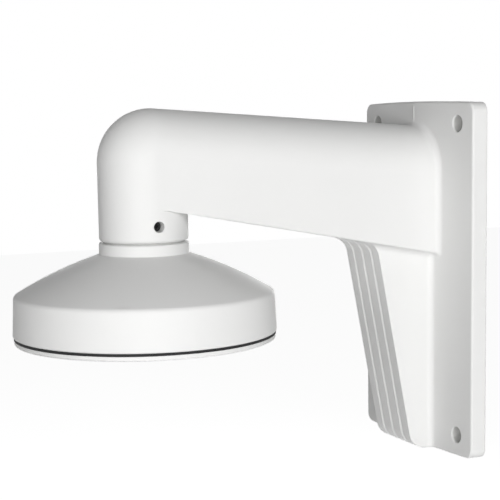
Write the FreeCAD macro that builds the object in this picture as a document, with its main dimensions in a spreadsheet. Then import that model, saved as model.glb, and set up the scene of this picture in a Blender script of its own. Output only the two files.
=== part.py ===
import FreeCAD, Part

import math
import os
import re

import Sketcher

# Wall bracket for a dome camera: a hollow die-cast plate, arm, gusset, elbow and neck in one piece,
# with a round cap, gasket and adapter plate screwed up into the neck. Millimetres.
# The origin is the middle of the face that lies on the wall, +Z is up and the arm reaches along -Y.

SIZES = [
    # wall plate
    ("plate_width", 107.0),
    ("plate_height", 183.0),
    ("plate_crown", 1.0),
    ("plate_edge_thickness", 8.5),
    ("plate_ridge_rise", 1.5),
    ("plate_corner_radius", 5.0),
    ("plate_edge_round", 1.2),
    ("ridge_bead_half_width", 0.4),
    ("ridge_bead_rise", 0.25),
    ("ridge_bead_margin", 2.5),
    ("plate_wall", 3.5),
    ("plate_rim_width", 3.0),
    ("plate_rib_width", 3.0),
    ("plate_rib_pitch", 48.0),
    # wall screw holes
    ("hole_edge_across", 13.5),
    ("hole_edge_up", 11.5),
    ("wall_hole_radius", 4.2),
    ("wall_hole_chamfer", 0.3),
    ("hole_boss_wall", 3.5),
    # arm
    ("casting_wall", 3.5),
    ("arm_root_start", 7.0),
    ("arm_root_half_width", 24.46),
    ("arm_root_top", 78.77),
    ("arm_root_bottom", 12.33),
    ("arm_end_bottom", 40.9),
    ("arm_edge_round", 1.2),
    ("arm_root_fillet", 3.0),
    # elbow and neck
    ("neck_reach", 162.0),
    ("neck_radius", 21.4),
    ("elbow_bend", 4.6),
    ("elbow_height", 62.9),
    ("neck_bottom", 25.8),
    ("neck_edge_round", 1.8),
    ("neck_mouth_length", 22.0),
    # gusset
    ("gusset_half_width", 17.2),
    ("gusset_head_reach", 42.5),
    ("gusset_foot_reach", 21.5),
    ("gusset_foot_rise", 0.3),
    ("gusset_head_round", 10.0),
    ("gusset_foot_round", 10.0),
    ("gusset_fillet", 3.0),
    ("groove_pitch", 9.5),
    ("groove_half_width", 1.3),
    ("groove_depth", 0.8),
    ("groove_lift", 0.4),
    # cap
    ("spigot_radius", 14.4),
    ("spigot_bore", 10.2),
    ("spigot_length", 20.0),
    ("spigot_clearance", 0.2),
    ("cap_seat_radius", 19.6),
    ("cap_seat_height", 0.7),
    ("collar_radius", 21.6),
    ("collar_bottom", 19.7),
    ("collar_edge_round", 0.6),
    ("flare_bend", 190.0),
    ("skirt_radius", 63.5),
    ("skirt_draft", 0.9),
    ("shoulder_height", 0.6),
    ("shoulder_round", 2.5),
    ("skirt_bottom", -18.6),
    ("skirt_edge_round", 0.9),
    ("cap_wall", 3.0),
    ("boss_radius", 3.8),
    ("boss_root", 0.6),
    ("boss_count", 4),
    ("boss_height", 14.0),
    ("boss_hole_depth", 11.0),
    # gasket and adapter plate
    ("gasket_inset", 0.5),
    ("gasket_boss_gap", 0.2),
    ("gasket_thickness", 1.2),
    ("adapter_inset", 0.75),
    ("adapter_thickness", 2.3),
    ("adapter_edge_round", 0.7),
    ("cable_hole_radius", 16.0),
    ("camera_ring_radius", 42.0),
    ("camera_hole_radius", 2.1),
    ("camera_hole_count", 3),
    # adapter screws
    ("screw_radius", 1.7),
    ("screw_length", 12.0),
    ("screw_head_radius", 3.3),
    ("screw_clearance", 0.1),
    ("screw_slot_length", 3.6),
    ("screw_slot_width", 0.8),
    ("screw_slot_depth", 0.9),
    # lock screw
    ("lock_height", 33.6),
    ("lock_screw_radius", 2.5),
    ("lock_screw_length", 3.6),
    ("lock_screw_clearance", 0.1),
    ("lock_groove_depth", 1.6),
    ("lock_groove_width", 6.0),
    ("lock_socket_radius", 1.3),
    ("lock_socket_depth", 2.0),
]

doc = FreeCAD.newDocument("camera_wall_bracket")
sheet = doc.addObject("Spreadsheet::Sheet", "sizes")
for row, (alias, value) in enumerate(SIZES, start=1):
    sheet.set("A%d" % row, alias.replace("_", " "))
    sheet.set("B%d" % row, str(value))
    sheet.setAlias("B%d" % row, alias)
doc.recompute()

ALIASES = {alias for alias, value in SIZES}

# When edges are chosen: steps looked at along one, how close counts as touching, how far as clear
REACH_STEPS = 8
TOUCHING = 0.02
CLEARLY = 0.5


def bound(text):
    """An expression with each size's name pointed at its cell in the sheet."""
    return re.sub(r"[a-z_]+", lambda word: "sizes." + word[0] if word[0] in ALIASES else word[0], text)


def value_of(text):
    """The number that an expression gives now."""
    result = sheet.evalExpression(bound(text).replace("sizes.", ""))
    return float(getattr(result, "Value", result))


def new_body(label):
    body = doc.addObject("PartDesign::Body", label)
    body.Label = label
    return body


def new_sketch(body, name, plane, base=("0", "0", "0"), turn=None):
    """A sketch on one of the body's own origin planes, moved by the expressions in base."""
    sketch = body.newObject("Sketcher::SketchObject", name)
    support = [feature for feature in body.Origin.OriginFeatures if feature.Role == plane][0]
    sketch.AttachmentSupport = [(support, "")]
    sketch.MapMode = "FlatFace"
    for axis, text in zip("xyz", base):
        if text != "0":
            sketch.setExpression(".AttachmentOffset.Base." + axis, bound(text))
    if turn:
        sketch.AttachmentOffset = FreeCAD.Placement(
            FreeCAD.Vector(), FreeCAD.Rotation(FreeCAD.Vector(1, 0, 0), value_of(turn)))
        sketch.setExpression(".AttachmentOffset.Rotation.Angle", bound(turn))
    doc.recompute()
    return sketch


def pin_point(sketch, geo, position, x, y, name):
    """Tie a point to the sketch's origin by two dimensions, or to an axis where one is zero."""
    for text, kind, axis in ((x, "DistanceX", -2), (y, "DistanceY", -1)):
        if text == "0":
            sketch.addConstraint(Sketcher.Constraint("PointOnObject", geo, position, axis))
            continue
        index = sketch.addConstraint(
            Sketcher.Constraint(kind, -1, 1, geo, position, value_of(text)))
        label = name + kind[-1].lower()
        sketch.renameConstraint(index, label)
        sketch.setExpression("Constraints." + label, bound(text))


def size_radius(sketch, geo, text, name):
    index = sketch.addConstraint(Sketcher.Constraint("Radius", geo, value_of(text)))
    sketch.renameConstraint(index, name)
    sketch.setExpression("Constraints." + name, bound(text))


def arc_between(start, end, radius, side):
    """The short arc from start to end that bulges to the left (1) or right (-1) of the way along."""
    chord = end - start
    rise = radius - math.sqrt(radius ** 2 - (chord.Length / 2) ** 2)
    left = FreeCAD.Vector(-chord.y, chord.x, 0).normalize()
    return Part.Arc(start, (start + end) / 2 + left * rise * side, end)


def draw(sketch, corners, closed=True):
    """Join corners (x, y) with lines; a corner (x, y, radius, side) starts an arc."""
    places = [FreeCAD.Vector(value_of(corner[0]), value_of(corner[1]), 0) for corner in corners]
    label = "c%d_" % sketch.GeometryCount
    last = len(corners) if closed else len(corners) - 1
    ends = []
    for index in range(last):
        start = places[index]
        finish = places[(index + 1) % len(corners)]
        if len(corners[index]) == 4:
            edge = arc_between(start, finish, value_of(corners[index][2]), corners[index][3])
        else:
            edge = Part.LineSegment(start, finish)
        geo = sketch.addGeometry(edge, False)
        first = 1 if (sketch.getPoint(geo, 1) - start).Length < 1e-4 else 2
        ends.append((geo, first, 3 - first))
    for index, (geo, first, second) in enumerate(ends):
        if closed or index + 1 < len(ends):
            after = ends[(index + 1) % len(ends)]
            sketch.addConstraint(Sketcher.Constraint("Coincident", geo, second, after[0], after[1]))
        pin_point(sketch, geo, first, corners[index][0], corners[index][1], label + "%d_" % index)
        if len(corners[index]) == 4:
            size_radius(sketch, geo, corners[index][2], label + "bend%d" % index)
    if not closed:
        geo, first, second = ends[-1]
        pin_point(sketch, geo, second, corners[-1][0], corners[-1][1], label + "%d_" % last)


def draw_arch(sketch, half_width, bottom, centre, way=1):
    """A flat base, upright sides and a half-round end that points up the sketch (1) or down it (-1)."""
    half = value_of(half_width)
    low = value_of(bottom)
    mid = value_of(centre)
    points = [FreeCAD.Vector(x, y, 0) for x, y in ((-half, mid), (-half, low), (half, low), (half, mid))]
    for start, finish in zip(points, points[1:]):
        sketch.addGeometry(Part.LineSegment(start, finish), False)
    circle = Part.Circle(FreeCAD.Vector(0, mid, 0), FreeCAD.Vector(0, 0, 1), half)
    turn = 0 if way > 0 else math.pi
    crown = sketch.addGeometry(Part.ArcOfCircle(circle, turn, turn + math.pi), False)
    right_end, left_end = (1, 2) if way > 0 else (2, 1)
    for one, two in (((0, 2), (1, 1)), ((1, 2), (2, 1)), ((2, 2), (crown, right_end)),
                     ((crown, left_end), (0, 1))):
        sketch.addConstraint(Sketcher.Constraint("Coincident", *one, *two))
    sketch.addConstraint(Sketcher.Constraint("Horizontal", crown, 1, crown, 3))
    sketch.addConstraint(Sketcher.Constraint("Horizontal", crown, 2, crown, 3))
    pin_point(sketch, crown, 3, "0", centre, "centre_")
    size_radius(sketch, crown, half_width, "half_width")
    pin_point(sketch, 1, 1, "-" + half_width, bottom, "left_")
    pin_point(sketch, 1, 2, half_width, bottom, "right_")


def draw_circle(sketch, x, y, radius, name="circle"):
    place = FreeCAD.Vector(value_of(x), value_of(y), 0)
    geo = sketch.addGeometry(
        Part.Circle(place, FreeCAD.Vector(0, 0, 1), value_of(radius)), False)
    pin_point(sketch, geo, 3, x, y, name + "_")
    size_radius(sketch, geo, radius, name + "_radius")
    return geo


def grow(body, kind, name, sketch, length, reverse=False, both=False):
    """A Pad or Pocket of a sketch by a bound length."""
    feature = body.newObject("PartDesign::" + kind, name)
    feature.Profile = sketch
    feature.setExpression("Length", bound(length))
    feature.Reversed = reverse
    if both:
        feature.SideType = "Symmetric"
    doc.recompute()
    return feature


def turn_about(body, kind, name, sketch, axis, angle=360.0):
    feature = body.newObject("PartDesign::" + kind, name)
    feature.Profile = sketch
    feature.ReferenceAxis = (sketch, [axis])
    feature.Angle = angle
    doc.recompute()
    return feature


def loft(body, kind, name, first, second):
    feature = body.newObject("PartDesign::" + kind, name)
    feature.Profile = first
    feature.Sections = [second]
    feature.Ruled = True
    doc.recompute()
    return feature


def dress(body, kind, name, size, chosen):
    """A Fillet or Chamfer on the edges of the body's tip that chosen accepts."""
    base = body.Tip
    names = ["Edge%d" % (index + 1) for index, edge in enumerate(base.Shape.Edges) if chosen(edge)]
    if not names:
        raise RuntimeError(name + " found no edges")
    feature = body.newObject("PartDesign::" + kind, name)
    feature.Base = (base, names)
    feature.setExpression("Radius" if kind == "Fillet" else "Size", bound(size))
    doc.recompute()
    return feature


def near(one, two, tolerance=TOUCHING):
    return abs(one - two) < tolerance


def reach_of(edge):
    """The box round points along an edge, which a curve's own box may overstate."""
    first, last = edge.ParameterRange
    box = FreeCAD.BoundBox()
    for step in range(REACH_STEPS + 1):
        box.add(edge.valueAt(first + (last - first) * step / REACH_STEPS))
    return box


def is_line_along(edge, axis):
    if edge.Curve.TypeId != "Part::GeomLine":
        return False
    return near(abs(edge.tangentAt(edge.FirstParameter).dot(axis)), 1, 1e-4)


Y_WAY = FreeCAD.Vector(0, 1, 0)

# Values that follow from the sheet, as expressions
ELBOW_START = "(neck_reach - elbow_bend)"
ARM_SLOPE = "((arm_end_bottom - arm_root_bottom) / (%s - arm_root_start))" % ELBOW_START
ARM_LEAN = "atan(%s)" % ARM_SLOPE
ROOT_CENTRE = "(arm_root_top - arm_root_half_width)"
END_CENTRE = "(elbow_height + elbow_bend)"
PLATE_FRONT = "(plate_edge_thickness + plate_ridge_rise)"
CORNER_HEIGHT = "(plate_height / 2 - plate_crown)"
CROWN_BEND = "(((plate_width / 2)^2 + plate_crown^2) / (2 * plate_crown))"
CAVITY_DEPTH = "(plate_edge_thickness - plate_wall)"

HEAD_Y = "(-gusset_head_reach)"
HEAD_Z = "(arm_root_bottom + %s * (gusset_head_reach - arm_root_start))" % ARM_SLOPE
FOOT_Y = "(-gusset_foot_reach)"
FOOT_Z = "(gusset_foot_rise - plate_height / 2)"
FACE_LEAN = "atan((gusset_head_reach - gusset_foot_reach) / (%s - %s))" % (HEAD_Z, FOOT_Z)
HEAD_TANGENT = "(gusset_head_round / tan((90 deg + %s + %s) / 2))" % (ARM_LEAN, FACE_LEAN)
FOOT_TANGENT = "(gusset_foot_round / tan((90 deg + %s) / 2))" % FACE_LEAN


def along_underside(distance):
    """A point under the arm, so far out from the corner where the gusset's face meets it."""
    return ("%s - (%s) * cos(%s)" % (HEAD_Y, distance, ARM_LEAN),
            "%s + (%s) * sin(%s)" % (HEAD_Z, distance, ARM_LEAN))


def on_face(corner_y, corner_z, distance, inset="0"):
    """A point on the gusset's sloping face, up from a corner, or inset from it towards the wall."""
    return ("%s - (%s) * sin(%s) + %s * cos(%s)" % (corner_y, distance, FACE_LEAN, inset, FACE_LEAN),
            "%s + (%s) * cos(%s) + %s * sin(%s)" % (corner_z, distance, FACE_LEAN, inset, FACE_LEAN))


SHOULDER_RADIUS = "(skirt_radius - skirt_draft)"
BOSS_RING = "(skirt_radius - cap_wall - boss_radius + boss_root)"
GASKET_INNER = "(skirt_radius - cap_wall + boss_root + gasket_boss_gap)"
GASKET_LOW = "(skirt_bottom - gasket_thickness)"
ADAPTER_LOW = "(skirt_bottom - gasket_thickness - adapter_thickness)"
SCREW_SINK = "(screw_head_radius - screw_radius)"

HEAD_UNDER = along_underside(HEAD_TANGENT)
HEAD_FACE = on_face(HEAD_Y, HEAD_Z, "-" + HEAD_TANGENT)
FOOT_FACE = on_face(FOOT_Y, FOOT_Z, FOOT_TANGENT)
FOOT_UNDER = ("%s + %s" % (FOOT_Y, FOOT_TANGENT), FOOT_Z)


def build_plate(body):
    """The wall plate: a rounded, slightly crowned outline with a faint ridge down its front."""
    outline = new_sketch(body, "plate_outline", "XZ_Plane")
    draw(outline, [
        ("-plate_width / 2", CORNER_HEIGHT, CROWN_BEND, 1),
        ("plate_width / 2", CORNER_HEIGHT),
        ("plate_width / 2", "-" + CORNER_HEIGHT, CROWN_BEND, 1),
        ("-plate_width / 2", "-" + CORNER_HEIGHT),
    ])
    grow(body, "Pad", "plate_pad", outline, PLATE_FRONT)
    dress(body, "Fillet", "plate_corners", "plate_corner_radius",
          lambda edge: is_line_along(edge, Y_WAY))
    slopes = new_sketch(body, "plate_slopes", "XY_Plane")
    for side in ("plate_width", "-plate_width"):
        draw(slopes, [
            ("0", "-" + PLATE_FRONT),
            (side + " / 2", "-plate_edge_thickness"),
            (side + " / 2", "-" + PLATE_FRONT),
        ])
    grow(body, "Pocket", "plate_faces", slopes, "plate_height * 2", both=True)
    dress(body, "Fillet", "plate_front_edge", "plate_edge_round", is_plate_front_edge)


def build_ridge_bead(body):
    """The thin raised line that the casting's mould leaves on the ridge above the arm."""
    bead = new_sketch(body, "ridge_bead", "XZ_Plane", ("0", "0", "plate_edge_thickness"))
    top = "(plate_height / 2 - ridge_bead_margin)"
    draw(bead, [
        ("-ridge_bead_half_width", ROOT_CENTRE),
        ("ridge_bead_half_width", ROOT_CENTRE),
        ("ridge_bead_half_width", top),
        ("-ridge_bead_half_width", top),
    ])
    grow(body, "Pad", "ridge_bead_pad", bead, "plate_ridge_rise + ridge_bead_rise")


def is_plate_front_edge(edge):
    """An edge round the plate's front, but not the ridge or the short edges through its thickness."""
    box = reach_of(edge)
    at_front = box.YMax < -value_of("plate_edge_thickness") + CLEARLY
    on_ridge = near(box.XMin, 0) and near(box.XMax, 0)
    return at_front and not on_ridge


def build_back(body):
    """The hollow back: a recess with a rim, a boss round each screw hole and cross ribs."""
    recess = new_sketch(body, "back_recess", "XZ_Plane")
    half = "(plate_width / 2 - plate_rim_width)"
    high = "(%s - plate_rim_width)" % CORNER_HEIGHT
    draw(recess, [("-" + half, high), (half, high), (half, "-" + high), ("-" + half, "-" + high)])
    grow(body, "Pocket", "back_pocket", recess, CAVITY_DEPTH, reverse=True)
    bosses = new_sketch(body, "hole_bosses", "XZ_Plane")
    draw_wall_holes(bosses, "wall_hole_radius + hole_boss_wall")
    grow(body, "Pad", "hole_boss_pad", bosses, CAVITY_DEPTH)
    ribs = new_sketch(body, "back_ribs", "XZ_Plane")
    reach = "(plate_width / 2 - plate_rim_width / 2)"
    for index in (-1, 0, 1):
        low = "(%d * plate_rib_pitch - plate_rib_width / 2)" % index
        high = "(%d * plate_rib_pitch + plate_rib_width / 2)" % index
        draw(ribs, [("-" + reach, low), (reach, low), (reach, high), ("-" + reach, high)])
    grow(body, "Pad", "back_rib_pad", ribs, CAVITY_DEPTH)


def draw_wall_holes(sketch, radius):
    for across in ("(plate_width / 2 - hole_edge_across)", "(hole_edge_across - plate_width / 2)"):
        for up in ("(plate_height / 2 - hole_edge_up)", "(hole_edge_up - plate_height / 2)"):
            draw_circle(sketch, across, up, radius, "hole%d" % sketch.GeometryCount)


def build_arm(body):
    """The arm, deep enough to hold the gusset: an arched section that grows from elbow to wall."""
    root = new_sketch(body, "arm_root", "XZ_Plane", ("0", "0", "arm_root_start"))
    draw_arch(root, "arm_root_half_width", FOOT_Z, ROOT_CENTRE)
    end = new_sketch(body, "arm_end", "XZ_Plane", ("0", "0", ELBOW_START))
    draw_arch(end, "neck_radius", FOOT_Z, END_CENTRE)
    loft(body, "AdditiveLoft", "arm_loft", root, end)


def build_gusset(body):
    """Cuts that leave the arm's sloping underside and the gusset, with its round head and foot."""
    beyond = "-(%s + neck_radius)" % ELBOW_START
    below = "(%s - neck_radius)" % FOOT_Z
    underside_end = "arm_root_bottom - %s * (%s + arm_root_start)" % (ARM_SLOPE, beyond)
    for name, side, back in (("right", "gusset_half_width", True), ("left", "-gusset_half_width", False)):
        flank = new_sketch(body, name + "_flank", "YZ_Plane", ("0", "0", side))
        draw(flank, [
            ("-arm_root_start", "arm_root_bottom"),
            (beyond, underside_end),
            (beyond, below),
            ("-arm_root_start", below),
        ])
        grow(body, "Pocket", name + "_flank_cut", flank, "arm_root_half_width", reverse=back)
    front = new_sketch(body, "gusset_front", "YZ_Plane")
    draw(front, [
        (beyond, underside_end),
        HEAD_UNDER + ("gusset_head_round", 1),
        HEAD_FACE,
        FOOT_FACE + ("gusset_foot_round", -1),
        FOOT_UNDER,
        (FOOT_UNDER[0], below),
        (beyond, below),
    ])
    grow(body, "Pocket", "gusset_front_cut", front, "arm_root_half_width * 3", both=True)


def build_elbow(body):
    """The elbow: the arched section turned a quarter way about a line across the arm, and the neck."""
    section = new_sketch(body, "elbow_section", "XZ_Plane", ("0", "elbow_height", ELBOW_START))
    draw_arch(section, "neck_radius", "0", "elbow_bend")
    turn_about(body, "Revolution", "elbow_turn", section, "H_Axis", 90.0)
    cheeks = new_sketch(body, "neck_cheeks", "XY_Plane", ("0", "0", "arm_end_bottom"))
    draw_arch(cheeks, "neck_radius", "-" + ELBOW_START, "-neck_reach", -1)
    grow(body, "Pad", "neck_cheek_pad", cheeks, "elbow_height - arm_end_bottom")
    ring = new_sketch(body, "neck_ring", "XY_Plane", ("0", "0", "neck_bottom"))
    draw_circle(ring, "0", "-neck_reach", "neck_radius")
    grow(body, "Pad", "neck_pad", ring, "arm_end_bottom - neck_bottom")


def build_outside(body, arm):
    """The arm's own rounds, then the arm joined to the plate with the corners that a casting has."""
    dress(arm, "Fillet", "arm_edges", "arm_edge_round", is_arm_lower_edge)
    dress(arm, "Fillet", "neck_edge", "neck_edge_round", is_neck_rim)
    join = body.newObject("PartDesign::Boolean", "arm_join")
    join.setObjects([arm])
    join.Type = "Fuse"
    doc.recompute()
    dress(body, "Fillet", "gusset_corner", "gusset_fillet", is_gusset_root_edge)
    dress(body, "Fillet", "arm_root_corner", "arm_root_fillet", is_arm_root_edge)
    build_ridge_bead(body)


def is_neck_rim(edge):
    """The outer edge of the neck's mouth."""
    box = reach_of(edge)
    return near(box.ZMax, value_of("neck_bottom")) and near(box.ZMin, value_of("neck_bottom"))


def on_plate_front(edge):
    """Whether an edge lies on the plate's front faces, clear of its rim."""
    box = reach_of(edge)
    return (box.YMax < -value_of("plate_edge_thickness") + TOUCHING
            and box.YMin > -value_of(PLATE_FRONT) - TOUCHING)


def is_arm_root_edge(edge):
    box = reach_of(edge)
    lowest = value_of("arm_root_bottom") + CLEARLY
    inside = max(abs(box.XMin), abs(box.XMax)) < value_of("arm_root_half_width") + TOUCHING
    upright_or_crown = box.ZLength > value_of("arm_root_fillet") and box.ZMin > lowest
    return on_plate_front(edge) and inside and upright_or_crown and not near(box.XLength, 0, 0.001)


def is_gusset_root_edge(edge):
    box = reach_of(edge)
    half = value_of("gusset_half_width")
    at_side = near(abs(box.XMin), half) and near(box.XMin, box.XMax)
    return on_plate_front(edge) and at_side and box.ZLength > value_of("gusset_half_width")


def is_arm_lower_edge(edge):
    """The two long lower edges of the arm."""
    box = reach_of(edge)
    wide = max(abs(box.XMin), abs(box.XMax)) > value_of("neck_radius") - TOUCHING
    sloping = min(box.YLength, box.ZLength) > value_of("casting_wall")
    return wide and sloping and box.ZMax < value_of("arm_end_bottom") + TOUCHING


def build_grooves(body):
    """Three shallow V grooves that follow the gusset's head, face and foot."""
    path = new_sketch(body, "groove_path", "YZ_Plane")
    draw(path, [
        HEAD_UNDER + ("gusset_head_round", 1),
        HEAD_FACE,
        FOOT_FACE + ("gusset_foot_round", -1),
        FOOT_UNDER,
    ], closed=False)
    spread = "(groove_half_width * (groove_depth + groove_lift) / groove_depth)"
    for index in (-1, 0, 1):
        middle = "%d * groove_pitch" % index
        shape = new_sketch(body, "groove_shape_%d" % (index + 2), "XZ_Plane",
                           ("0", HEAD_UNDER[1], "-(%s)" % HEAD_UNDER[0]), "-" + ARM_LEAN)
        draw(shape, [
            ("%s - %s" % (middle, spread), "-groove_lift"),
            ("%s + %s" % (middle, spread), "-groove_lift"),
            (middle, "groove_depth"),
        ])
        cut = body.newObject("PartDesign::SubtractivePipe", "groove_%d" % (index + 2))
        cut.Profile = shape
        cut.Spine = path
        cut.Mode = "Standard"
        doc.recompute()


def build_hollow(body):
    """The cable way: the plate's opening, the arm's channel, the elbow and the neck."""
    root = new_sketch(body, "channel_root", "XZ_Plane")
    slope_back = "%s * arm_root_start" % ARM_SLOPE
    draw_arch(root, "(arm_root_half_width - casting_wall)",
              "arm_root_bottom + casting_wall - " + slope_back, ROOT_CENTRE)
    end = new_sketch(body, "channel_end", "XZ_Plane", ("0", "0", ELBOW_START))
    draw_arch(end, "(neck_radius - casting_wall)", "arm_end_bottom + casting_wall", END_CENTRE)
    loft(body, "SubtractiveLoft", "arm_channel", root, end)
    section = new_sketch(body, "elbow_channel", "XZ_Plane", ("0", "elbow_height", ELBOW_START))
    draw_arch(section, "(neck_radius - casting_wall)", "0", "elbow_bend")
    turn_about(body, "Groove", "elbow_way", section, "H_Axis", 90.0)
    down = new_sketch(body, "neck_channel", "XY_Plane", ("0", "0", "elbow_height"))
    draw_arch(down, "(neck_radius - casting_wall)", "-" + ELBOW_START, "-neck_reach", -1)
    grow(body, "Pocket", "neck_way", down, "elbow_height - neck_bottom - neck_mouth_length")
    mouth = new_sketch(body, "neck_mouth", "XY_Plane", ("0", "0", "neck_bottom"))
    draw_circle(mouth, "0", "-neck_reach", "spigot_radius + spigot_clearance")
    grow(body, "Pocket", "neck_mouth_bore", mouth, "neck_mouth_length", reverse=True)


def build_gusset_cavity(body):
    """The gusset is cast hollow and open to the wall side."""
    inside = new_sketch(body, "gusset_inside", "YZ_Plane")
    draw(inside, [
        ("0", "arm_root_bottom - %s * arm_root_start" % ARM_SLOPE),
        on_face(HEAD_Y, HEAD_Z, "-casting_wall * tan(%s + %s)" % (ARM_LEAN, FACE_LEAN), "casting_wall"),
        on_face(FOOT_Y, FOOT_Z, FOOT_TANGENT, "casting_wall")
        + ("(gusset_foot_round - casting_wall)", -1),
        (FOOT_UNDER[0], FOOT_Z + " + casting_wall"),
        ("0", FOOT_Z + " + casting_wall"),
    ])
    grow(body, "Pocket", "gusset_cavity", inside, "2 * (gusset_half_width - casting_wall)", both=True)


def build_holes(body):
    """The four wall screw holes, with a small chamfer at the front, and the lock screw's hole."""
    holes = new_sketch(body, "wall_holes", "XZ_Plane")
    draw_wall_holes(holes, "wall_hole_radius")
    grow(body, "Pocket", "wall_hole_cut", holes, "plate_edge_thickness * 2", reverse=True)
    dress(body, "Chamfer", "wall_hole_chamfers", "wall_hole_chamfer", is_hole_front_edge)
    lock = new_sketch(body, "lock_hole", "YZ_Plane", ("0", "0", "neck_radius + lock_screw_radius"))
    draw_circle(lock, "-neck_reach", "lock_height", "lock_screw_radius + lock_screw_clearance")
    grow(body, "Pocket", "lock_hole_cut", lock, "neck_radius + lock_screw_radius - spigot_bore")


def is_hole_front_edge(edge):
    """The rim of a wall screw hole on the plate's front."""
    box = reach_of(edge)
    return (near(box.XLength, 2 * value_of("wall_hole_radius"))
            and near(box.ZLength, 2 * value_of("wall_hole_radius"))
            and box.YMax < -value_of(CAVITY_DEPTH) - CLEARLY)


def build_cap(body):
    """The round cap turned about the neck's axis: spigot, seat, collar, flare and skirt."""
    outline = new_sketch(body, "cap_outline", "XZ_Plane", ("0", "0", "neck_reach"))
    spigot_top = "(neck_bottom + spigot_length)"
    draw(outline, [
        ("spigot_bore", spigot_top),
        ("spigot_radius", spigot_top),
        ("spigot_radius", "lock_height + lock_groove_width / 2"),
        ("spigot_radius - lock_groove_depth", "lock_height + lock_groove_width / 2"),
        ("spigot_radius - lock_groove_depth", "lock_height - lock_groove_width / 2"),
        ("spigot_radius", "lock_height - lock_groove_width / 2"),
        ("spigot_radius", "neck_bottom"),
        ("cap_seat_radius", "neck_bottom"),
        ("cap_seat_radius", "neck_bottom - cap_seat_height"),
        ("collar_radius", "neck_bottom - cap_seat_height"),
        ("collar_radius", "collar_bottom", "flare_bend", 1),
        (SHOULDER_RADIUS, "shoulder_height"),
        ("skirt_radius", "skirt_bottom"),
        ("skirt_radius - cap_wall", "skirt_bottom"),
        (SHOULDER_RADIUS + " - cap_wall", "shoulder_height - cap_wall", "flare_bend - cap_wall", -1),
        ("collar_radius", "collar_bottom - cap_wall"),
        ("spigot_bore", "collar_bottom - cap_wall"),
    ])
    turn_about(body, "Revolution", "cap_turn", outline, "V_Axis")
    dress(body, "Fillet", "cap_shoulder", "shoulder_round",
          lambda edge: is_ring(edge, SHOULDER_RADIUS, "shoulder_height"))
    dress(body, "Fillet", "cap_skirt_edge", "skirt_edge_round",
          lambda edge: is_ring(edge, "skirt_radius", "skirt_bottom"))
    dress(body, "Fillet", "cap_collar_edge", "collar_edge_round",
          lambda edge: is_ring(edge, "collar_radius", "neck_bottom - cap_seat_height"))
    bosses = new_sketch(body, "cap_bosses", "XY_Plane", ("0", "-neck_reach", GASKET_LOW))
    draw_ring(bosses, BOSS_RING, "boss_radius", "boss_count")
    grow(body, "Pad", "cap_boss_pad", bosses, "boss_height")
    holes = new_sketch(body, "cap_boss_holes", "XY_Plane", ("0", "-neck_reach", GASKET_LOW))
    draw_ring(holes, BOSS_RING, "screw_radius + screw_clearance", "boss_count")
    grow(body, "Pocket", "cap_boss_hole_cut", holes, "boss_hole_depth", reverse=True)


def is_ring(edge, radius, height):
    """A full circle of a radius about the neck's axis at a height."""
    box = reach_of(edge)
    return (near(box.XLength, 2 * value_of(radius)) and near(box.ZLength, 0)
            and near(box.ZMin, value_of(height)))


def draw_ring(sketch, ring_radius, radius, count, turn=0):
    """Circles spaced evenly on a ring about the sketch's origin."""
    total = round(value_of(count))
    for index in range(total):
        angle = "(%d deg + 360 deg * %d / %d)" % (turn, index, total)
        draw_circle(sketch, "%s * cos(%s)" % (ring_radius, angle),
                    "%s * sin(%s)" % (ring_radius, angle), radius, "ring%d" % index)


def build_gasket(body):
    """The thin rubber ring between the cap's rim and the adapter plate."""
    ring = new_sketch(body, "gasket_ring", "XY_Plane", ("0", "-neck_reach", GASKET_LOW))
    draw_circle(ring, "0", "0", "skirt_radius - gasket_inset", "outer")
    draw_circle(ring, "0", "0", GASKET_INNER, "inner")
    grow(body, "Pad", "gasket_pad", ring, "gasket_thickness")


def build_adapter(body):
    """The disc that the camera is fastened to, screwed up to the cap's bosses."""
    disc = new_sketch(body, "adapter_disc", "XY_Plane", ("0", "-neck_reach", ADAPTER_LOW))
    draw_circle(disc, "0", "0", "skirt_radius - adapter_inset", "outer")
    draw_circle(disc, "0", "0", "cable_hole_radius", "cable")
    grow(body, "Pad", "adapter_pad", disc, "adapter_thickness")
    dress(body, "Fillet", "adapter_edge", "adapter_edge_round",
          lambda edge: is_ring(edge, "skirt_radius - adapter_inset", ADAPTER_LOW))
    camera = new_sketch(body, "camera_holes", "XY_Plane", ("0", "-neck_reach", ADAPTER_LOW))
    draw_ring(camera, "camera_ring_radius", "camera_hole_radius", "camera_hole_count", 90)
    grow(body, "Pocket", "camera_hole_cut", camera, "adapter_thickness", reverse=True)
    fixing = new_sketch(body, "fixing_holes", "XY_Plane", ("0", "-neck_reach", ADAPTER_LOW))
    draw_ring(fixing, BOSS_RING, "screw_radius + screw_clearance", "boss_count")
    grow(body, "Pocket", "fixing_hole_cut", fixing, "adapter_thickness", reverse=True)
    dress(body, "Chamfer", "fixing_sink", SCREW_SINK, is_fixing_rim)


def is_fixing_rim(edge):
    """The lower rim of a hole for an adapter screw."""
    box = reach_of(edge)
    return (near(box.XLength, 2 * value_of("screw_radius + screw_clearance"))
            and near(box.ZMax, value_of(ADAPTER_LOW)) and near(box.ZLength, 0))


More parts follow.
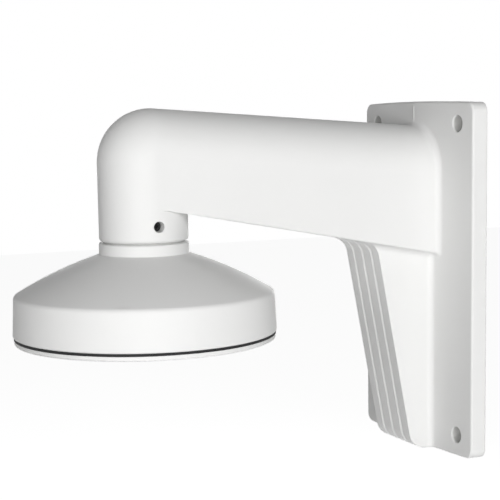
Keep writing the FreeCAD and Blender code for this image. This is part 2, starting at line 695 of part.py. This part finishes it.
def build_adapter_screws(body):
    """The countersunk screws of the adapter plate, with a cross recess in each head."""
    outline = new_sketch(body, "screw_outline", "XZ_Plane",
                         (BOSS_RING, ADAPTER_LOW, "neck_reach"))
    draw(outline, [
        ("0", "0"),
        ("screw_head_radius", "0"),
        ("screw_radius", SCREW_SINK),
        ("screw_radius", "screw_length"),
        ("0", "screw_length"),
    ])
    screw = turn_about(body, "Revolution", "screw_turn", outline, "V_Axis")
    slots = []
    for name, across, along in (("first", "screw_slot_length", "screw_slot_width"),
                                ("second", "screw_slot_width", "screw_slot_length")):
        slot = new_sketch(body, name + "_slot", "XY_Plane",
                          (BOSS_RING, "-neck_reach", ADAPTER_LOW))
        draw(slot, [
            ("-%s / 2" % across, "-%s / 2" % along),
            (across + " / 2", "-%s / 2" % along),
            (across + " / 2", along + " / 2"),
            ("-%s / 2" % across, along + " / 2"),
        ])
        slots.append(grow(body, "Pocket", name + "_slot_cut", slot, "screw_slot_depth", reverse=True))
    ring = new_sketch(body, "screw_ring", "XY_Plane", ("0", "-neck_reach", ADAPTER_LOW))
    draw_circle(ring, "0", "0", BOSS_RING)
    pattern = body.newObject("PartDesign::PolarPattern", "screw_pattern")
    pattern.Originals = [screw] + slots
    pattern.Axis = (ring, ["N_Axis"])
    pattern.Angle = 360.0
    pattern.setExpression("Occurrences", "sizes.boss_count")
    body.Tip = pattern
    doc.recompute()


def build_lock_screw(body):
    """The set screw through the neck's side that bears on the groove in the cap's spigot."""
    tip = "(spigot_radius - lock_groove_depth)"
    shank = new_sketch(body, "lock_shank", "YZ_Plane", ("0", "0", tip))
    draw_circle(shank, "-neck_reach", "lock_height", "lock_screw_radius")
    grow(body, "Pad", "lock_shank_pad", shank, "lock_screw_length")
    socket = new_sketch(body, "lock_socket", "YZ_Plane", ("0", "0", tip + " + lock_screw_length"))
    draw(socket, [("-neck_reach + lock_socket_radius * cos(%d deg)" % turn,
                   "lock_height + lock_socket_radius * sin(%d deg)" % turn)
                  for turn in range(0, 360, 60)])
    grow(body, "Pocket", "lock_socket_cut", socket, "lock_socket_depth")


arm_casting = new_body("arm_casting")
build_arm(arm_casting)
build_gusset(arm_casting)
build_elbow(arm_casting)

wall_bracket = new_body("wall_bracket")
build_plate(wall_bracket)
build_back(wall_bracket)
build_outside(wall_bracket, arm_casting)
build_grooves(wall_bracket)
build_hollow(wall_bracket)
build_gusset_cavity(wall_bracket)
build_holes(wall_bracket)

pieces = [wall_bracket]
for label, build in (("camera_cap", build_cap), ("cap_gasket", build_gasket),
                     ("adapter_plate", build_adapter), ("adapter_screws", build_adapter_screws),
                     ("lock_screw", build_lock_screw)):
    piece = new_body(label)
    build(piece)
    pieces.append(piece)

doc.recompute()
for item in doc.Objects:
    if "Invalid" in item.State or "Error" in item.State:
        raise RuntimeError("%s did not compute: %s" % (item.Label, item.State))

os.makedirs("parts", exist_ok=True)
for piece in pieces:
    shape = piece.Shape
    wanted = value_of("boss_count") if piece.Label == "adapter_screws" else 1
    if shape.isNull() or not shape.isValid() or len(shape.Solids) != wanted:
        raise RuntimeError(piece.Label + " has no sound solid")
    shape.exportStep("parts/%s.step" % piece.Label)
    box = shape.BoundBox
    print("%-15s volume %9.0f  X %.2f..%.2f  Y %.2f..%.2f  Z %.2f..%.2f" % (
        piece.Label, shape.Volume, box.XMin, box.XMax, box.YMin, box.YMax, box.ZMin, box.ZMax))
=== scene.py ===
"""Looks of a camera wall bracket: powder coat, gasket, screws, a soft white studio and the camera."""
import math

import bpy
from mathutils import Matrix, Vector


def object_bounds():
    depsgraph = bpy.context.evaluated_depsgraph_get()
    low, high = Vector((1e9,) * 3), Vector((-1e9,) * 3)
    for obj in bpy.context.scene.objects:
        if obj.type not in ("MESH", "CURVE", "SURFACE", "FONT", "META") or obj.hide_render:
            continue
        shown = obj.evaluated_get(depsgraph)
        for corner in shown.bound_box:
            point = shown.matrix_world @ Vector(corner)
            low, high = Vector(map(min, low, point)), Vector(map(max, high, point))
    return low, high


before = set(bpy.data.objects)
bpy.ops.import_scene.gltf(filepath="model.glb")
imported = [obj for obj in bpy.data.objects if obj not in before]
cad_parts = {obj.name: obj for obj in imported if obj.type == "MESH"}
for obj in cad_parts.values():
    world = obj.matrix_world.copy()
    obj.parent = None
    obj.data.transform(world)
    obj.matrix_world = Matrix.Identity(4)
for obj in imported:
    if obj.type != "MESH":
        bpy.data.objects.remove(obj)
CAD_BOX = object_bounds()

bl_info = {
    "name": "Camera wall bracket looks",
    "version": (1, 0, 0),
    "blender": (4, 5, 0),
    "location": "3D View > Sidebar > Bracket",
    "description": "Coats the cast wall bracket, dresses its cap and screws and sets up the studio",
    "category": "Object",
}

MM = 0.001

# Wall screw holes of the CAD plate: half their spacing across and up, their radius, how far out their
# walls may lie in the mesh, and the depths between which painted shade fades in on their walls
HOLE_ACROSS = 40 * MM
HOLE_UP = 80 * MM
HOLE_RADIUS = 4.2 * MM
HOLE_MARGIN = 0.06 * MM
HOLE_SHADE_FADE_START = -8.5 * MM
HOLE_SHADE_FULL = -7.6 * MM

# The cap's spigot and seat, which get painted shade for the dark gap under the arm: their axis, radius and
# lowest height
NECK_AXIS = -162 * MM
SEAT_RADIUS = 20.2 * MM
SEAT_BOTTOM = 25.14 * MM

# Pattern sizes: the coat's faint clouds, the rubber's moulded grain, the steel's tool marks (drawn coarser
# than a real turned face has them, so that they show), the floor's paper, and the depth of two of them
CLOUD_SIZE = 45 * MM
RUBBER_GRAIN = 0.4 * MM
RUBBER_DEPTH = 0.02 * MM
TOOL_MARK = 0.55 * MM
PAPER_GRAIN = 2.5 * MM
PAPER_DEPTH = 0.05 * MM

# How far the coat's clouds go: the darkest against the colour, and the swing of its roughness; then the
# swing of the steel's roughness, and the coat's gloss (low, as a satin coat scatters most of its shine)
CLOUD_DARKENING = 0.985
COAT_SPREAD = 0.04
STEEL_SPREAD = 0.08
COAT_GLOSS = 0.18

# Numbers of a Mix node's sockets when it mixes colours
MIX_AMOUNT, MIX_FIRST, MIX_SECOND, MIX_RESULT = 0, 6, 7, 2

# The floor: its width, its cells each way, and the glow that keeps it near white and still shows a shadow
FLOOR_WIDTH = 12.0
FLOOR_CELLS = 8
FLOOR_GLOW = 0.93
WHITE = (1, 1, 1, 1)

# The camera's frame in millimetres, and the nearest and farthest that it sees
FRAME_WIDTH = 36.0
NEAREST = 0.01
FARTHEST = 50.0

# The soft tent round the bracket: each lamp's name, its power against the main lamp's, and where it
# stands in degrees: round from the plate's front, and up
TENT = (
    ("key_softbox", 1.0, 67, -1),
    ("side_high_softbox", 0.46, 90, 25),
    ("rear_side_softbox", 0.095, 125, 12),
    ("front_softbox", 0.21, 22, 14),
    ("back_softbox", 0.65, 192, 3),
    ("far_softbox", 0.55, 244, 3),
)


def linear(hex_colour):
    """Linear red, green, blue and alpha of an sRGB hex colour."""
    values = [int(hex_colour[place:place + 2], 16) / 255 for place in (1, 3, 5)]
    return [v / 12.92 if v <= 0.04045 else ((v + 0.055) / 1.055) ** 2.4 for v in values] + [1.0]


class BracketFinish(bpy.types.PropertyGroup):
    """Colours and surface sizes of the bracket's finishes."""
    coat_colour: bpy.props.FloatVectorProperty(
        name="Powder coat", description="Colour of the white powder coat",
        size=4, min=0, max=1, subtype="COLOR", default=linear("#e4e4e3"))
    coat_roughness: bpy.props.FloatProperty(
        name="Coat roughness", description="How matt the satin coat is", min=0, max=1, default=0.5)
    peel_size: bpy.props.FloatProperty(
        name="Orange peel", description="Width of the coat's shallow dimples",
        unit="LENGTH", default=1.1 * MM)
    peel_depth: bpy.props.FloatProperty(
        name="Orange peel depth", description="Depth of the coat's shallow dimples",
        unit="LENGTH", default=0.012 * MM)
    edge_softness: bpy.props.FloatProperty(
        name="Edge softness", description="Radius that the coat gives to a cast edge",
        unit="LENGTH", default=0.75 * MM)
    # Painted shade: the grey that the coat takes deep in the wall screw holes and on the cap's seat, where
    # shade falls
    painted_shade_colour: bpy.props.FloatVectorProperty(
        name="Screw hole wall", description="Grey casting that shows where the coat is thin in a hole",
        size=4, min=0, max=1, subtype="COLOR", default=linear("#bdbdbb"))
    rubber_colour: bpy.props.FloatVectorProperty(
        name="Gasket", description="Colour of the rubber sealing ring",
        size=4, min=0, max=1, subtype="COLOR", default=linear("#1b1b1c"))
    steel_colour: bpy.props.FloatVectorProperty(
        name="Screws", description="Colour of the plain steel screws",
        size=4, min=0, max=1, subtype="COLOR", default=linear("#c4c4c2"))
    black_colour: bpy.props.FloatVectorProperty(
        name="Lock screw", description="Colour of the blackened set screw",
        size=4, min=0, max=1, subtype="COLOR", default=linear("#262626"))


class BracketStudio(bpy.types.PropertyGroup):
    """The floor, the soft lamps and the camera."""
    floor_drop: bpy.props.FloatProperty(
        name="Floor drop", description="Height of the bracket's lowest point above the floor",
        unit="LENGTH", default=0.50)
    floor_colour: bpy.props.FloatVectorProperty(
        name="Floor", description="Colour of the floor and backdrop",
        size=4, min=0, max=1, subtype="COLOR", default=linear("#dedede"))
    daylight: bpy.props.FloatProperty(
        name="Fill", description="Level of the even light from all round", min=0, max=1, default=0.03)
    key_power: bpy.props.FloatProperty(
        name="Key power", description="Power of the main soft lamp beside the camera",
        unit="POWER", default=16.4)
    lamp_width: bpy.props.FloatProperty(
        name="Lamp width", description="Width of each soft lamp", unit="LENGTH", default=1.1)
    lamp_height: bpy.props.FloatProperty(
        name="Lamp height", description="Height of each soft lamp", unit="LENGTH", default=0.55)
    lamp_distance: bpy.props.FloatProperty(
        name="Lamp distance", description="From the bracket to each lamp", unit="LENGTH", default=1.6)
    camera_place: bpy.props.FloatVectorProperty(
        name="Camera place", description="Where the camera stands",
        size=3, subtype="TRANSLATION", default=(0.6019, -0.37925, 0.08406))
    camera_turn: bpy.props.FloatVectorProperty(
        name="Camera turn", description="Yaw, pitch and roll of the camera",
        size=3, subtype="EULER", default=(math.radians(62.8), math.radians(7.25), math.radians(-0.56)))
    camera_lens: bpy.props.FloatProperty(
        name="Lens", description="Focal length in millimetres on a 36 mm frame", default=95.157)
    camera_shift: bpy.props.FloatVectorProperty(
        name="Lens shift", description="Sideways and upward shift of the picture",
        size=2, default=(-0.1288, 0.0698))


def add_node(tree, kind, place, settings=None, inputs=None):
    """Add a node, set its attributes, and set or link its inputs by their names or numbers."""
    node = tree.nodes.new(kind)
    node.location = place
    for name, value in (settings or {}).items():
        setattr(node, name, value)
    for name, value in (inputs or {}).items():
        if isinstance(value, bpy.types.NodeSocket):
            tree.links.new(value, node.inputs[name])
        else:
            node.inputs[name].default_value = value
    return node


def new_material(name):
    material = bpy.data.materials.new(name)
    material.use_nodes = True
    material.node_tree.nodes.clear()
    return material


def painted_shade_in_holes(tree, place):
    """How much painted shade shows: 1 inside the wall screw holes, 0 everywhere else."""
    split = add_node(tree, "ShaderNodeSeparateXYZ", (-800, 600), inputs={"Vector": place})
    squares = []
    for row, (axis, middle) in enumerate((("X", HOLE_ACROSS), ("Z", HOLE_UP))):
        height = 560 + 120 * row
        size = add_node(tree, "ShaderNodeMath", (-620, height), {"operation": "ABSOLUTE"},
                        {0: split.outputs[axis]})
        offset = add_node(tree, "ShaderNodeMath", (-460, height), {"operation": "SUBTRACT"},
                          {0: size.outputs[0], 1: middle})
        squares.append(add_node(tree, "ShaderNodeMath", (-300, height), {"operation": "MULTIPLY"},
                                {0: offset.outputs[0], 1: offset.outputs[0]}))
    total = add_node(tree, "ShaderNodeMath", (-140, 620), {"operation": "ADD"},
                     {0: squares[0].outputs[0], 1: squares[1].outputs[0]})
    inside = add_node(tree, "ShaderNodeMath", (20, 620), {"operation": "LESS_THAN"},
                      {0: total.outputs[0], 1: (HOLE_RADIUS + HOLE_MARGIN) ** 2})
    deep = add_node(tree, "ShaderNodeMapRange", (-140, 440), inputs={
        "Value": split.outputs["Y"], "From Min": HOLE_SHADE_FADE_START, "From Max": HOLE_SHADE_FULL})
    return add_node(tree, "ShaderNodeMath", (180, 560), {"operation": "MULTIPLY"},
                    {0: inside.outputs[0], 1: deep.outputs["Result"]}).outputs[0]


def painted_shade_at_seat(tree, place):
    """How much painted shade shows on the cap: 1 on the spigot, hidden in the arm, and on the seat at its
    foot, where the gap under the arm falls in shade.
    """
    split = add_node(tree, "ShaderNodeSeparateXYZ", (-800, 600), inputs={"Vector": place})
    across = add_node(tree, "ShaderNodeMath", (-460, 560), {"operation": "MULTIPLY"},
                      {0: split.outputs["X"], 1: split.outputs["X"]})
    away = add_node(tree, "ShaderNodeMath", (-620, 680), {"operation": "SUBTRACT"},
                    {0: split.outputs["Y"], 1: NECK_AXIS})
    along = add_node(tree, "ShaderNodeMath", (-460, 680), {"operation": "MULTIPLY"},
                     {0: away.outputs[0], 1: away.outputs[0]})
    total = add_node(tree, "ShaderNodeMath", (-300, 620), {"operation": "ADD"},
                     {0: across.outputs[0], 1: along.outputs[0]})
    inside = add_node(tree, "ShaderNodeMath", (-140, 620), {"operation": "LESS_THAN"},
                      {0: total.outputs[0], 1: SEAT_RADIUS ** 2})
    above = add_node(tree, "ShaderNodeMath", (-140, 480), {"operation": "GREATER_THAN"},
                     {0: split.outputs["Z"], 1: SEAT_BOTTOM})
    return add_node(tree, "ShaderNodeMath", (20, 560), {"operation": "MULTIPLY"},
                    {0: inside.outputs[0], 1: above.outputs[0]}).outputs[0]


def satin_powder_coat(finish, name, painted_shade_mask):
    """White polyester powder coat on a die casting: an even satin white with a faint orange peel, and grey
    painted shade where the given mask asks for it.
    """
    material = new_material(name)
    tree = material.node_tree
    place = add_node(tree, "ShaderNodeTexCoord", (-1000, 0)).outputs["Object"]
    peel = add_node(tree, "ShaderNodeTexNoise", (-800, -200), inputs={
        "Vector": place, "Scale": 1 / finish.peel_size, "Detail": 2.0, "Roughness": 0.4})
    cloud = add_node(tree, "ShaderNodeTexNoise", (-800, 200), inputs={
        "Vector": place, "Scale": 1 / CLOUD_SIZE, "Detail": 3.0, "Roughness": 0.5}).outputs["Fac"]
    rough = add_node(tree, "ShaderNodeMapRange", (-600, 0), inputs={
        "Value": cloud,
        "To Min": finish.coat_roughness - COAT_SPREAD,
        "To Max": finish.coat_roughness + COAT_SPREAD})
    shade = [v * CLOUD_DARKENING for v in finish.coat_colour[:3]] + [1.0]
    tint = add_node(tree, "ShaderNodeMix", (-600, 260), {"data_type": "RGBA"}, {
        MIX_AMOUNT: cloud, MIX_FIRST: finish.coat_colour, MIX_SECOND: shade})
    # Painted shade: grey mixed into the coat where the mask says, for the shade in the screw holes and in
    # the gap at the cap's seat
    painted_shade_mix = add_node(tree, "ShaderNodeMix", (-350, 260), {"data_type": "RGBA"}, {
        MIX_AMOUNT: painted_shade_mask(tree, place),
        MIX_FIRST: tint.outputs[MIX_RESULT],
        MIX_SECOND: finish.painted_shade_colour})
    soft = add_node(tree, "ShaderNodeBevel", (-600, -400), {"samples": 6},
                    {"Radius": finish.edge_softness})
    bump = add_node(tree, "ShaderNodeBump", (-400, -200), inputs={
        "Height": peel.outputs["Fac"], "Normal": soft.outputs["Normal"],
        "Strength": 1.0, "Distance": finish.peel_depth})
    shader = add_node(tree, "ShaderNodeBsdfPrincipled", (-100, 0), inputs={
        "Base Color": painted_shade_mix.outputs[MIX_RESULT], "Roughness": rough.outputs["Result"],
        "Normal": bump.outputs["Normal"], "IOR": 1.5, "Specular IOR Level": COAT_GLOSS})
    add_node(tree, "ShaderNodeOutputMaterial", (200, 0), inputs={"Surface": shader.outputs["BSDF"]})
    return material


def moulded_rubber(finish):
    """Black EPDM rubber: almost black and matt, with a fine moulded grain."""
    material = new_material("black_epdm_rubber")
    tree = material.node_tree
    place = add_node(tree, "ShaderNodeTexCoord", (-800, 0)).outputs["Object"]
    grain = add_node(tree, "ShaderNodeTexNoise", (-600, 0), inputs={
        "Vector": place, "Scale": 1 / RUBBER_GRAIN, "Detail": 2.0})
    bump = add_node(tree, "ShaderNodeBump", (-350, -200), inputs={
        "Height": grain.outputs["Fac"], "Strength": 0.5, "Distance": RUBBER_DEPTH})
    shader = add_node(tree, "ShaderNodeBsdfPrincipled", (-100, 0), inputs={
        "Base Color": finish.rubber_colour, "Normal": bump.outputs["Normal"],
        "Roughness": 0.75, "Specular IOR Level": 0.3})
    add_node(tree, "ShaderNodeOutputMaterial", (200, 0), inputs={"Surface": shader.outputs["BSDF"]})
    return material


def turned_steel(name, colour, roughness, metallic):
    """Turned steel, bright or blackened: fine uneven tool marks that spread its reflections."""
    material = new_material(name)
    tree = material.node_tree
    place = add_node(tree, "ShaderNodeTexCoord", (-800, 0)).outputs["Object"]
    grain = add_node(tree, "ShaderNodeTexNoise", (-600, 0), inputs={
        "Vector": place, "Scale": 1 / TOOL_MARK, "Detail": 3.0})
    rough = add_node(tree, "ShaderNodeMapRange", (-350, 0), inputs={
        "Value": grain.outputs["Fac"],
        "To Min": roughness - STEEL_SPREAD,
        "To Max": roughness + STEEL_SPREAD})
    shader = add_node(tree, "ShaderNodeBsdfPrincipled", (-100, 0), inputs={
        "Base Color": colour, "Metallic": metallic, "Roughness": rough.outputs["Result"]})
    add_node(tree, "ShaderNodeOutputMaterial", (200, 0), inputs={"Surface": shader.outputs["BSDF"]})
    return material


def coat(node_name, material):
    """Give a CAD node its finish in place of the plain one that it comes with."""
    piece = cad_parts[node_name]
    piece.data.materials.clear()
    piece.data.materials.append(material)


class BRACKET_OT_coat_castings(bpy.types.Operator):
    """Powder coat the bracket, the cap and the adapter plate"""
    bl_idname = "bracket.coat_castings"
    bl_label = "Coat the castings"

    def execute(self, context):
        finish = context.scene.bracket_finish
        # Painted shade: grey deep in the wall screw holes of the bracket, and on the cap's seat in the gap
        # under the arm
        coat("wall_bracket", satin_powder_coat(finish, "white_powder_coat_satin", painted_shade_in_holes))
        cap_coat = satin_powder_coat(finish, "white_powder_coat_painted_seat_shade", painted_shade_at_seat)
        coat("camera_cap", cap_coat)
        coat("adapter_plate", cap_coat)
        return {"FINISHED"}


class BRACKET_OT_fit_gasket(bpy.types.Operator):
    """Give the sealing ring its black rubber"""
    bl_idname = "bracket.fit_gasket"
    bl_label = "Fit the gasket"

    def execute(self, context):
        coat("cap_gasket", moulded_rubber(context.scene.bracket_finish))
        return {"FINISHED"}


class BRACKET_OT_finish_screws(bpy.types.Operator):
    """Give the adapter screws and the lock screw their steel"""
    bl_idname = "bracket.finish_screws"
    bl_label = "Finish the screws"

    def execute(self, context):
        finish = context.scene.bracket_finish
        coat("adapter_screws", turned_steel("stainless_steel_turned", finish.steel_colour, 0.3, 1.0))
        coat("lock_screw", turned_steel("black_oxide_steel", finish.black_colour, 0.45, 0.6))
        return {"FINISHED"}


class BRACKET_OT_set_stage(bpy.types.Operator):
    """Lay the pale floor and set the soft lamps, the fill light and the camera"""
    bl_idname = "bracket.set_stage"
    bl_label = "Set the stage"

    def execute(self, context):
        studio = context.scene.bracket_studio
        lay_floor(studio)
        light_studio(context.scene, studio)
        place_camera(context.scene, studio)
        return {"FINISHED"}


def white_to_camera(tree, level):
    """A strength: level for what the camera, gloss and glass see, and none for the light that is cast."""
    path = add_node(tree, "ShaderNodeLightPath", (-700, 300))
    seen = path.outputs["Is Camera Ray"]
    for step, ray in enumerate(("Is Glossy Ray", "Is Transmission Ray")):
        seen = add_node(tree, "ShaderNodeMath", (200 * step - 500, 300), {"operation": "MAXIMUM"},
                        {0: seen, 1: path.outputs[ray]}).outputs[0]
    return add_node(tree, "ShaderNodeMath", (-150, 300), {"operation": "MULTIPLY"},
                    {0: seen, 1: level}).outputs[0]


def lay_floor(studio):
    """A wide pale floor below the bracket; it takes the bracket's soft shadow."""
    bpy.ops.object.select_all(action="DESELECT")
    lowest = CAD_BOX[0][2]
    bpy.ops.mesh.primitive_grid_add(
        x_subdivisions=FLOOR_CELLS, y_subdivisions=FLOOR_CELLS, size=FLOOR_WIDTH,
        location=(0, 0, lowest - studio.floor_drop))
    floor = bpy.context.object
    floor.name = "studio_floor"
    bpy.ops.object.transform_apply(location=True, rotation=True, scale=True)
    material = new_material("matt_white_paper")
    tree = material.node_tree
    grain = add_node(tree, "ShaderNodeTexNoise", (-700, 0), inputs={
        "Scale": 1 / PAPER_GRAIN, "Detail": 2.0})
    bump = add_node(tree, "ShaderNodeBump", (-400, -200), inputs={
        "Height": grain.outputs["Fac"], "Strength": 0.1, "Distance": PAPER_DEPTH})
    lit = add_node(tree, "ShaderNodeBsdfDiffuse", (-150, 0), inputs={
        "Color": studio.floor_colour, "Normal": bump.outputs["Normal"]})
    glow = add_node(tree, "ShaderNodeEmission", (-150, -200), inputs={
        "Color": WHITE, "Strength": white_to_camera(tree, FLOOR_GLOW)})
    both = add_node(tree, "ShaderNodeAddShader", (50, 0), inputs={
        0: lit.outputs["BSDF"], 1: glow.outputs["Emission"]})
    add_node(tree, "ShaderNodeOutputMaterial", (250, 0), inputs={"Surface": both.outputs[0]})
    floor.data.materials.append(material)


def hang_softbox(scene, studio, name, share, turn, rise):
    """A soft lamp that faces the bracket from one of the tent's places."""
    low, high = CAD_BOX
    turn, rise = math.radians(turn), math.radians(rise)
    way = Vector((math.sin(turn) * math.cos(rise), -math.cos(turn) * math.cos(rise), math.sin(rise)))
    lamp = bpy.data.lights.new(name, "AREA")
    lamp.shape = "RECTANGLE"
    lamp.size = studio.lamp_width
    lamp.size_y = studio.lamp_height
    lamp.energy = studio.key_power * share
    softbox = bpy.data.objects.new(name, lamp)
    scene.collection.objects.link(softbox)
    softbox.location = (Vector(low) + Vector(high)) / 2 + way * studio.lamp_distance
    softbox.rotation_euler = way.to_track_quat("Z", "Y").to_euler()


def light_studio(scene, studio):
    """The tent of soft lamps, and a white surround that also gives a little even fill."""
    for name, share, turn, rise in TENT:
        hang_softbox(scene, studio, name, share, turn, rise)
    world = bpy.data.worlds.new("studio_white")
    world.use_nodes = True
    tree = world.node_tree
    tree.nodes.clear()
    level = add_node(tree, "ShaderNodeMath", (0, 300), {"operation": "MAXIMUM"},
                     {0: white_to_camera(tree, 1.0), 1: studio.daylight})
    sky = add_node(tree, "ShaderNodeBackground", (200, 300), inputs={
        "Color": WHITE, "Strength": level.outputs[0]})
    add_node(tree, "ShaderNodeOutputWorld", (400, 300), inputs={"Surface": sky.outputs["Background"]})
    scene.world = world


def place_camera(scene, studio):
    """The camera at the photograph's angle."""
    yaw, pitch, roll = studio.camera_turn
    back = Vector((math.sin(yaw) * math.cos(pitch), -math.cos(yaw) * math.cos(pitch), math.sin(pitch)))
    right = Vector((math.cos(yaw), math.sin(yaw), 0))
    up = back.cross(right)
    turned_right = right * math.cos(roll) + up * math.sin(roll)
    turned_up = back.cross(turned_right)
    lens = bpy.data.cameras.new("photo_camera")
    lens.sensor_width = FRAME_WIDTH
    lens.sensor_fit = "HORIZONTAL"
    lens.lens = studio.camera_lens
    lens.shift_x, lens.shift_y = studio.camera_shift
    lens.clip_start = NEAREST
    lens.clip_end = FARTHEST
    camera = bpy.data.objects.new("photo_camera", lens)
    scene.collection.objects.link(camera)
    camera.matrix_world = Matrix.Translation(Vector(studio.camera_place)) @ Matrix(
        (turned_right, turned_up, back)).transposed().to_4x4()
    scene.camera = camera
    scene.view_settings.view_transform = "Standard"


class BRACKET_PT_looks(bpy.types.Panel):
    """Steps that dress the bracket"""
    bl_label = "Camera wall bracket"
    bl_idname = "BRACKET_PT_looks"
    bl_space_type = "VIEW_3D"
    bl_region_type = "UI"
    bl_category = "Bracket"

    def draw(self, context):
        for step in STEPS:
            self.layout.operator(step.bl_idname)
        for group in (context.scene.bracket_finish, context.scene.bracket_studio):
            for name in group.__annotations__:
                self.layout.prop(group, name)


STEPS = (BRACKET_OT_coat_castings, BRACKET_OT_fit_gasket, BRACKET_OT_finish_screws, BRACKET_OT_set_stage)
CLASSES = (BracketFinish, BracketStudio) + STEPS + (BRACKET_PT_looks,)


def register():
    for one in CLASSES:
        bpy.utils.register_class(one)
    bpy.types.Scene.bracket_finish = bpy.props.PointerProperty(type=BracketFinish)
    bpy.types.Scene.bracket_studio = bpy.props.PointerProperty(type=BracketStudio)


def unregister():
    del bpy.types.Scene.bracket_studio
    del bpy.types.Scene.bracket_finish
    for one in reversed(CLASSES):
        bpy.utils.unregister_class(one)


def main():
    register()
    bpy.ops.bracket.coat_castings()
    bpy.ops.bracket.fit_gasket()
    bpy.ops.bracket.finish_screws()
    bpy.ops.bracket.set_stage()


if __name__ == "__main__":
    main()
